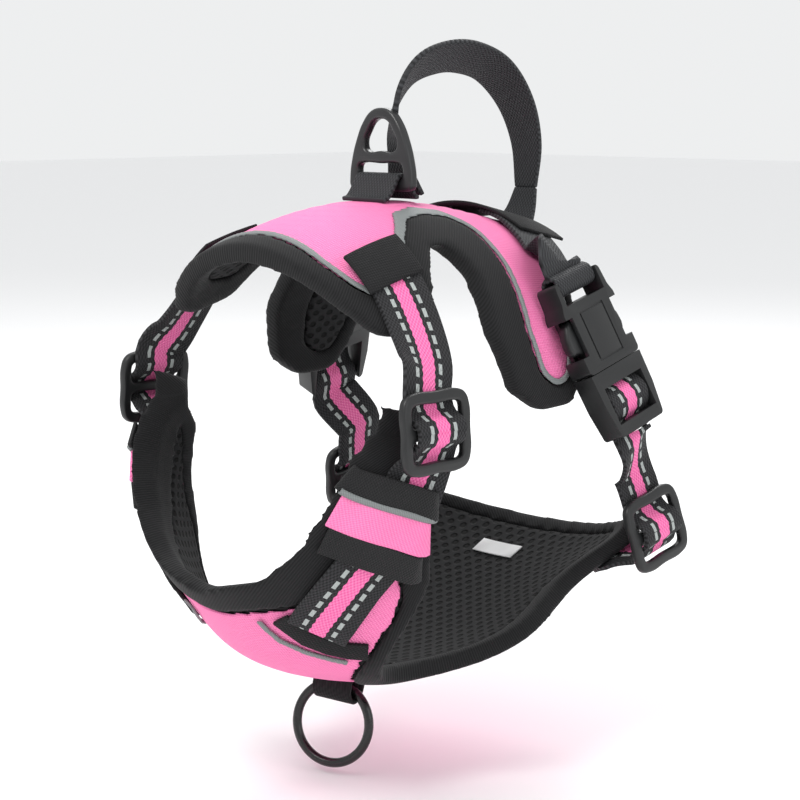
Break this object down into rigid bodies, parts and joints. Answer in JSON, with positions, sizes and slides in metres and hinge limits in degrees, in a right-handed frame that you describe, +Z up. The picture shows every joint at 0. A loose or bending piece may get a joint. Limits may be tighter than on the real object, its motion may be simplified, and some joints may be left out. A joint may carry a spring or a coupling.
{
  "type": "dog harness",
  "caption": "Padded no pull dog harness with top handle, back and chest leash rings, side release buckles and strap adjusters.",
  "frame": {"origin": "middle of the dog's chest, where the harness is worn", "axes": "+X to the dog's left, -Y towards the dog's head, +Z up"},
  "size_m": [0.196, 0.2076, 0.3007],
  "materials": {
    "pink_cover": "woven polyester",
    "air_mesh": "spacer mesh",
    "knit_binding": "padded knit",
    "reflective_piping": "reflective cord",
    "black_patch": "tight weave",
    "white_label": "satin tape",
    "black_webbing": "nylon webbing",
    "striped_webbing": "striped nylon webbing",
    "black_metal": "satin black",
    "ring_plastic": "satin charcoal",
    "buckle_plastic": "fine texture"
  },
  "bodies": {
    "harness": {"back_cover": "pink_cover", "back_lining": "air_mesh", "back_binding_left": "knit_binding", "back_binding_right": "knit_binding", "back_piping": "reflective_piping", "chest_cover": "pink_cover", "chest_lining": "air_mesh", "chest_binding_left": "knit_binding", "chest_binding_right": "knit_binding", "neck_strap_left": "striped_webbing", "neck_strap_right": "striped_webbing", "neck_bight_left": "striped_webbing", "neck_bight_right": "striped_webbing", "lobe_strap_left": "striped_webbing", "lobe_strap_right": "striped_webbing", "upper_keeper_left": "black_patch", "upper_keeper_right": "black_patch", "lobe_window_left": "pink_cover", "lobe_window_right": "pink_cover", "lower_keeper_left": "black_patch", "lower_keeper_right": "black_patch", "girth_web_left": "black_webbing", "girth_web_right": "black_webbing", "girth_loop_left": "black_webbing", "girth_loop_right": "black_webbing", "girth_strap_left": "striped_webbing", "girth_strap_right": "striped_webbing", "girth_bight_left": "striped_webbing", "girth_bight_right": "striped_webbing", "belly_tab_left": "striped_webbing", "belly_tab_right": "striped_webbing", "rear_patch": "black_patch", "front_patch_left": "black_patch", "front_patch_right": "black_patch", "ring_webbing": "black_webbing", "handle_tab_front": "black_webbing", "handle_tab_rear": "black_webbing", "chest_loop": "black_webbing", "chest_piping_left": "reflective_piping", "chest_piping_right": "reflective_piping", "chest_border_left": "black_patch", "chest_border_right": "black_patch", "care_label": "white_label", "buckle_socket_left": "buckle_plastic", "buckle_socket_right": "buckle_plastic"},
    "leash_ring": {"leash_ring": "ring_plastic"},
    "chest_ring": {"chest_ring": "black_metal"},
    "handle": {"handle": "black_webbing"},
    "plug_left": {"buckle_plug_left": "buckle_plastic", "plug_web_left": "striped_webbing"},
    "rear_arm_left": {"rear_arm_left": "buckle_plastic"},
    "front_arm_left": {"front_arm_left": "buckle_plastic"},
    "neck_slider_left": {"neck_slider_left": "buckle_plastic"},
    "girth_slider_left": {"girth_slider_left": "buckle_plastic"},
    "plug_right": {"buckle_plug_right": "buckle_plastic", "plug_web_right": "striped_webbing"},
    "rear_arm_right": {"rear_arm_right": "buckle_plastic"},
    "front_arm_right": {"front_arm_right": "buckle_plastic"},
    "neck_slider_right": {"neck_slider_right": "buckle_plastic"},
    "girth_slider_right": {"girth_slider_right": "buckle_plastic"}
  },
  "joints": [
    {"name": "leash_ring_swing", "type": "hinge", "parent": "harness", "child": "leash_ring", "pos_m": [0, -0.01, 0.09248], "axis": [1, 0, 0], "range_deg": [0, 80], "deforming": ["ring_webbing"]},
    {"name": "chest_ring_swing", "type": "hinge", "parent": "harness", "child": "chest_ring", "pos_m": [0, -0.03695, -0.1181], "axis": [0.9397, 0.3319, -0.0827], "range_deg": [-75, 75]},
    {"name": "handle_lean", "type": "hinge", "parent": "harness", "child": "handle", "pos_m": [0, -0.002, 0.104], "axis": [0, 0.9817, -0.1904], "range_deg": [-45, 45], "stiffness_Nm_per_rad": 0.02, "deforming": ["handle_tab_front", "handle_tab_rear"]},
    {"name": "plug_release_left", "type": "slide", "parent": "harness", "child": "plug_left", "axis": [0.3575, 0.2386, -0.9029], "range_m": [0, 0.022], "deforming": ["girth_strap_left", "rear_arm_left", "front_arm_left"]},
    {"name": "rear_button_left", "type": "hinge", "parent": "plug_left", "child": "rear_arm_left", "pos_m": [0.08093, 0.04903, 0.0221], "axis": [0.9298, 0, 0.3681], "range_deg": [0, 9], "stiffness_Nm_per_rad": 0.1},
    {"name": "front_button_left", "type": "hinge", "parent": "plug_left", "child": "front_arm_left", "pos_m": [0.08286, 0.02767, 0.01722], "axis": [-0.9298, 0, -0.3681], "range_deg": [0, 9], "stiffness_Nm_per_rad": 0.1},
    {"name": "neck_adjust_left", "type": "slide", "parent": "harness", "child": "neck_slider_left", "axis": [-0.0599, 0, 0.9982], "range_m": [-0.003, 0.005], "deforming": ["neck_bight_left"]},
    {"name": "girth_adjust_left", "type": "slide", "parent": "harness", "child": "girth_slider_left", "axis": [-0.188, -0.199, 0.9618], "range_m": [-0.003, 0.005], "deforming": ["girth_bight_left"]},
    {"name": "plug_release_right", "type": "slide", "parent": "harness", "child": "plug_right", "axis": [-0.3575, 0.2386, -0.9029], "range_m": [0, 0.022], "deforming": ["girth_strap_right", "rear_arm_right", "front_arm_right"]},
    {"name": "rear_button_right", "type": "hinge", "parent": "plug_right", "child": "rear_arm_right", "pos_m": [-0.08093, 0.04903, 0.0221], "axis": [0.9298, 0, -0.3681], "range_deg": [0, 9], "stiffness_Nm_per_rad": 0.1},
    {"name": "front_button_right", "type": "hinge", "parent": "plug_right", "child": "front_arm_right", "pos_m": [-0.08286, 0.02767, 0.01722], "axis": [-0.9298, 0, 0.3681], "range_deg": [0, 9], "stiffness_Nm_per_rad": 0.1},
    {"name": "neck_adjust_right", "type": "slide", "parent": "harness", "child": "neck_slider_right", "axis": [0.0599, 0, 0.9982], "range_m": [-0.003, 0.005], "deforming": ["neck_bight_right"]},
    {"name": "girth_adjust_right", "type": "slide", "parent": "harness", "child": "girth_slider_right", "axis": [0.188, -0.199, 0.9618], "range_m": [-0.003, 0.005], "deforming": ["girth_bight_right"]}
  ]
}
